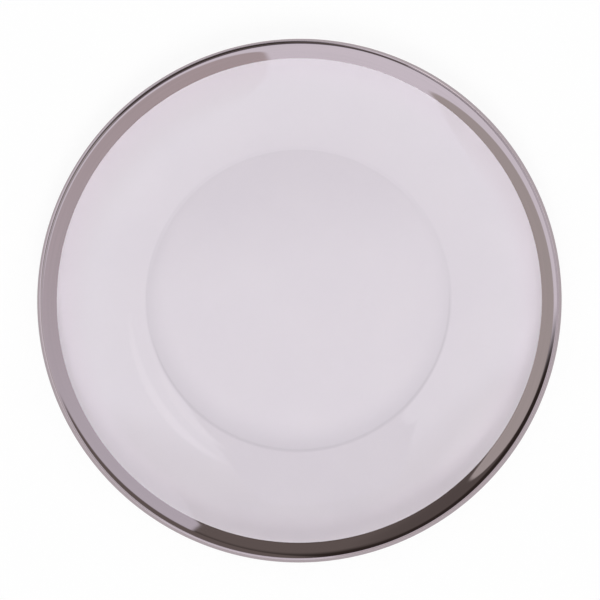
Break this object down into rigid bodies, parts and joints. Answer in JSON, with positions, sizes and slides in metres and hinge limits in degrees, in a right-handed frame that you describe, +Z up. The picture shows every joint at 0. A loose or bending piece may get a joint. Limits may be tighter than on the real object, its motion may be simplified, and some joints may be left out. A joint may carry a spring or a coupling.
{
  "type": "glass dinner plate",
  "caption": "Round dinner plate of pale lilac-grey clear glass with a flat well, a sloping rim and a mirror metal band fired over its upturned lip.",
  "frame": {"origin": "centre of the flat base's underside, on the surface the plate stands on", "axes": "+Z up through the plate's centre, the axis it is turned about; X and Y lie in the base"},
  "size_m": [0.28, 0.28, 0.0218],
  "materials": {
    "tinted_glass": "fire-polished clear glass with a pale lilac-grey tint",
    "metal_lustre": "mirror-bright fired metal film"
  },
  "bodies": {
    "root": {"glass_plate": "tinted_glass", "rim_band": "metal_lustre"}
  },
  "joints": []
}
